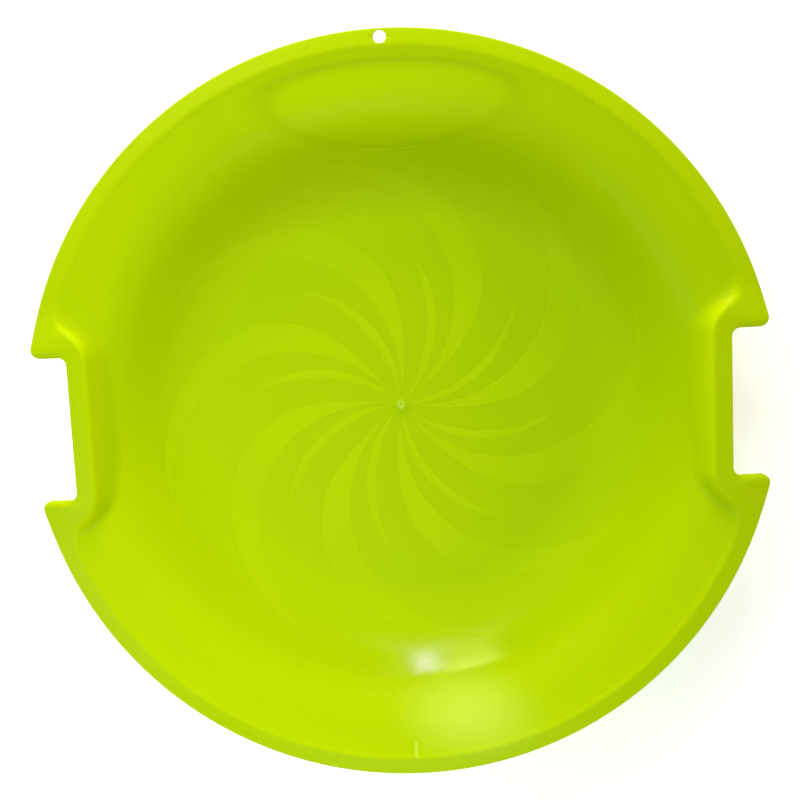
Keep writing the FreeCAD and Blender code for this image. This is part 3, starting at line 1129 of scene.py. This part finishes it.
@dataclass
class GateNub(Relief):
    """The rough ring of plastic left on the gate mark."""

    nub_radius: float = 5.2 * MM

    def trace(self, graph: ShapeGraph, along: Value, across: Value) -> Traced:
        """Where a point of the ring lies.

        Args:
            graph: the tree.
            along: 0 to 1 round the axis.
            across: 0 to 1 from the outer edge to the axis.

        Returns:
            The point's x and y, and the ring's radius.
        """
        reach, = self.inputs(graph, "nub_radius")
        bearing = 2.0 * math.pi * along
        radius = reach * (1.0 - across)
        return radius * cosine(bearing), radius * sine(bearing), reach


@dataclass
class RimMarks(Relief):
    """Short moulded bars across the step inside the rim's crest."""

    inner_radius: float = 306.0 * MM
    outer_radius: float = 313.5 * MM
    bar_width: float = 4.5 * MM

    def trace(self, graph: ShapeGraph, along: Value, across: Value) -> Traced:
        """Where a point of a bar lies.

        Args:
            graph: the tree.
            along: 0 to 1 outwards.
            across: 0 to 1 from one side to the other.

        Returns:
            The point's x and y, and the bar's width.
        """
        inner, outer, width = self.inputs(graph, "inner_radius", "outer_radius", "bar_width")
        radius = inner + (outer - inner) * along
        return radius, (across - 0.5) * width, width


@dataclass
class BadgeEdge(Relief):
    """Thin raised line along the lower edge of the oval field."""

    badge: Badge = field(default_factory=Badge)
    line_width: float = 1.6 * MM
    spread: float = math.radians(22.0)

    def trace(self, graph: ShapeGraph, along: Value, across: Value) -> Traced:
        """Where a point of the line lies.

        Args:
            graph: the tree.
            along: 0 to 1 from one end to the other.
            across: 0 to 1 from the outside to the inside of the oval.

        Returns:
            The point's x and y, and the line's width there.
        """
        width, spread = self.inputs(graph, "line_width", "spread")
        turn = -0.5 * math.pi + spread * (2.0 * along - 1.0)
        off = (0.5 - across) * width
        x = (self.badge.half_width + off) * cosine(turn)
        y = self.badge.offset + (self.badge.half_height + off) * sine(turn)
        return x, y, width * 4.0 * along * (1.0 - along)


class Reach(Enum):
    """What a light acts on: the plastic's body colour, or its gloss."""

    BODY = "body"
    GLOSS = "gloss"


@dataclass(frozen=True)
class SoftLight:
    """One studio light that faces the sled: angles in degrees, sizes in metres, power in watts."""

    name: str
    reach: Reach
    azimuth: float
    elevation: float
    distance: float
    width: float
    depth: float
    power: float
    colour: tuple[float, float, float]

    def build(self, target: Vector) -> None:
        """Adds the light.

        Args:
            target: the point that it is turned to.
        """
        lamp = bpy.data.lights.new(self.name, "AREA")
        lamp.shape = "RECTANGLE"
        lamp.size = self.width
        lamp.size_y = self.depth
        lamp.energy = self.power
        lamp.color = self.colour
        holder = bpy.data.objects.new(self.name, lamp)
        holder.visible_glossy = self.reach is Reach.GLOSS
        holder.visible_diffuse = self.reach is Reach.BODY
        bearing = math.radians(self.azimuth)
        height = math.radians(self.elevation)
        flat = self.distance * math.cos(height)
        rise = self.distance * math.sin(height)
        spot = Vector((flat * math.cos(bearing), flat * math.sin(bearing), rise))
        holder.location = target + spot
        holder.rotation_euler = (-spot).to_track_quat("-Z", "Y").to_euler()
        bpy.context.scene.collection.objects.link(holder)


@dataclass
class Studio:
    """Pale floor, soft light and the camera of the photograph."""

    lip_level: float = 84.1 * MM
    unit: float = 330.0 * MM
    roll: float = math.radians(2.44)
    tip: float = math.radians(5.98)
    lean: float = math.radians(-2.52)
    distance: float = 2.561
    focal_pixels: float = 959.5
    image_pixels: float = 800.0
    shift_right: float = -0.0060
    shift_up: float = -0.0394
    sensor: float = 36.0
    sky: float = 0.3
    aim_level: float = 50.0 * MM
    floor_size: float = 12.0
    floor_gap: float = 0.2 * MM
    floor_tone: Colour = (0.95, 0.95, 0.95, 1.0)
    floor_glow: float = 0.34
    floor_roughness: float = 0.9
    floor_specular: float = 0.1

    def build(self) -> None:
        """Adds floor, sky, lights and camera."""
        self.add_floor()
        self.add_sky()
        for light in self.lights():
            light.build(Vector((0.0, 0.0, self.aim_level)))
        self.add_camera()

    def lights(self) -> list[SoftLight]:
        """The lights, each by its bearing, height and distance.

        Returns:
            Those for the body colour first, then the two for the gloss.
        """
        warm = (1.0, 0.73, 0.78)
        cool = (0.7, 1.0, 0.85)
        plain = (1.0, 1.0, 1.0)
        lilac = (0.84, 0.53, 1.0)
        straw = (1.0, 0.92, 0.35)
        return [
            SoftLight("low_panel", Reach.BODY, 104.0, 3.0, 1.6, 1.0, 0.12, 16.4, warm),
            SoftLight("rear_panel", Reach.BODY, 270.0, 3.0, 1.6, 0.8, 0.12, 8.0, warm),
            SoftLight("low_softbox", Reach.BODY, 90.0, 15.0, 1.6, 0.4, 0.5, 10.7, warm),
            SoftLight("side_softbox", Reach.BODY, 0.0, 20.0, 4.0, 1.0, 1.0, 40.0, warm),
            SoftLight("front_softbox", Reach.BODY, 90.0, 40.0, 1.6, 0.4, 0.4, 7.2, cool),
            SoftLight("front_lamp", Reach.BODY, 124.0, 46.0, 0.9, 0.4, 0.4, 1.4, plain),
            SoftLight("left_lamp", Reach.BODY, 210.0, 45.0, 0.8, 0.4, 0.4, 1.24, plain),
            SoftLight("rear_lamp", Reach.BODY, 270.0, 45.0, 0.8, 0.4, 0.4, 1.3, cool),
            SoftLight("low_window", Reach.GLOSS, 96.5, 7.5, 1.6, 0.1, 0.05, 7.0, lilac),
            SoftLight("window_band", Reach.GLOSS, 108.0, 10.0, 1.6, 0.34, 0.2, 9.0, straw),
        ]

    def add_floor(self) -> None:
        """Lays a plain pale floor."""
        half = 0.5 * self.floor_size
        mesh = bpy.data.meshes.new("floor")
        level = -self.floor_gap
        corners = [(-half, -half, level), (half, -half, level), (half, half, level), (-half, half, level)]
        mesh.from_pydata(corners, [], [(0, 1, 2, 3)])
        floor = new_piece("floor", mesh)
        material = bpy.data.materials.new("pale_floor")
        material.use_nodes = True
        shader = material.node_tree.nodes["Principled BSDF"]
        look = {
            "Base Color": self.floor_tone,
            "Emission Color": WHITE,
            "Emission Strength": self.floor_glow,
            "Roughness": self.floor_roughness,
            "Specular IOR Level": self.floor_specular,
        }
        for name, setting in look.items():
            shader.inputs[name].default_value = setting
        mesh.materials.append(material)

    def add_sky(self) -> None:
        """Sets an even white surround."""
        world = bpy.data.worlds.new("surround")
        world.use_nodes = True
        glow = world.node_tree.nodes["Background"]
        glow.inputs["Color"].default_value = WHITE
        glow.inputs["Strength"].default_value = self.sky
        world.cycles_visibility.glossy = False
        bpy.context.scene.world = world
        bpy.context.scene.view_settings.view_transform = "Standard"

    def add_camera(self) -> None:
        """Places the camera where the photograph was taken from."""
        turn_x = Matrix.Rotation(self.tip, 3, "X")
        turn_y = Matrix.Rotation(self.lean, 3, "Y")
        turn_z = Matrix.Rotation(self.roll, 3, "Z")
        facing = (turn_z @ turn_y @ turn_x).transposed()
        spot = facing @ Vector((-self.shift_right, -self.shift_up, self.distance)) * self.unit
        lens = bpy.data.cameras.new("camera")
        lens.sensor_width = self.sensor
        lens.lens = self.sensor * self.focal_pixels / self.image_pixels
        holder = bpy.data.objects.new("camera", lens)
        holder.matrix_world = Matrix.Translation(spot + Vector((0.0, 0.0, self.lip_level))) @ facing.to_4x4()
        bpy.context.scene.collection.objects.link(holder)
        bpy.context.scene.camera = holder


def painted_light_and_shade_patches() -> tuple[PaintedLightPatch, ...]:
    """The places on the dish where light or shade is painted into the colour.

    Returns:
        Painted light over the bare oval field, painted shade on its border, and a painted sheen on the rear
        brim.
    """
    badge = Badge()
    # painted light: a lighter lime that stands in for the brighter glow of light on the front wall round the
    # oval field
    painted_glow_on_oval = PaintedLightPatch(
        colour=(0.53, 0.74, 0.0, 1.0),
        middle=(0.0, badge.offset),
        half_size=(badge.half_width, badge.half_height),
        full=0.2,
        gone=1.35,
    )
    # painted shade: a darker ring that stands in for the shade along the oval's sunk border
    painted_shade_on_oval_border = PaintedLightPatch(
        colour=(0.448, 0.618, 0.0, 1.0),
        middle=(4.5 * MM, badge.offset),
        half_size=(115.0 * MM, 34.5 * MM),
        full=0.95,
        gone=1.2,
        hollow=0.8,
    )
    # painted sheen: a paler, slightly milky lime that stands in for the bright sheen on the rear brim
    painted_sheen_on_rear_brim = PaintedLightPatch(
        colour=(0.578, 0.762, 0.045, 1.0),
        middle=(52.0 * MM, -277.0 * MM),
        half_size=(62.0 * MM, 36.0 * MM),
        full=0.1,
        gone=1.25,
    )
    return painted_glow_on_oval, painted_shade_on_oval_border, painted_sheen_on_rear_brim


def finishes() -> tuple[PlasticFinish, PlasticFinish, PlasticFinish]:
    """The plastic of the dish, of the relief on it, and of its rough marks.

    Returns:
        The three finishes in that order.
    """
    dish = PlasticFinish(
        name="dish_plastic",
        colour=(0.45, 0.63, 0.0, 1.0),
        pale=(0.505, 0.68, 0.0, 1.0),
        floor_roughness=0.6,
        wall_roughness=0.1,
        brim_roughness=0.25,
        grain=0.5,
        wall_grain=1.2,
        # painted light and shade on the dish's colour
        patches=painted_light_and_shade_patches(),
    )
    relief = PlasticFinish(
        name="relief_plastic",
        colour=(0.487, 0.675, 0.0, 1.0),
        pale=(0.545, 0.73, 0.0, 1.0),
        floor_roughness=0.58,
        grain=0.2,
        outer=(0.48, 0.663, 0.0, 1.0),
    )
    nub = PlasticFinish(
        name="nub_plastic",
        colour=(0.49, 0.68, 0.0, 1.0),
        pale=(0.7, 0.88, 0.12, 1.0),
        floor_roughness=0.25,
        grain=3.0,
        specular=0.3,
    )
    return dish, relief, nub


def main() -> None:
    """Builds the sled and its studio."""
    logging.basicConfig(level=logging.INFO, format="%(name)s %(message)s")
    dish_plastic, relief_plastic, nub_plastic = [finish.make() for finish in finishes()]
    SledDisc().build(dish_plastic)
    swirl = {"count": 8, "step_bearing": math.radians(45.0)}
    SwirlBlades("swirl_blades", first_bearing=math.radians(37.0), **swirl).build(relief_plastic)
    SwirlRays("swirl_rays", first_bearing=math.radians(2.6), **swirl).build(relief_plastic)
    GateNub("gate_nub", height=0.9 * MM, edge=1.2 * MM, along_count=33, across_count=13).build(nub_plastic)
    bar = {"height": 0.35 * MM, "edge": 1.8 * MM, "along_count": 14, "across_count": 13}
    front = {"count": 2, "first_bearing": math.radians(55.0), "step_bearing": math.radians(70.5)}
    RimMarks("front_marks", **front, **bar).build(relief_plastic)
    rear = {"first_bearing": math.radians(270.5), "inner_radius": 300.0 * MM}
    RimMarks("rear_mark", **rear, **bar).build(nub_plastic)
    BadgeEdge("badge_edge", height=0.35 * MM, edge=0.7 * MM, across_count=9).build(relief_plastic)
    Studio().build()


if __name__ == "__main__":
    main()
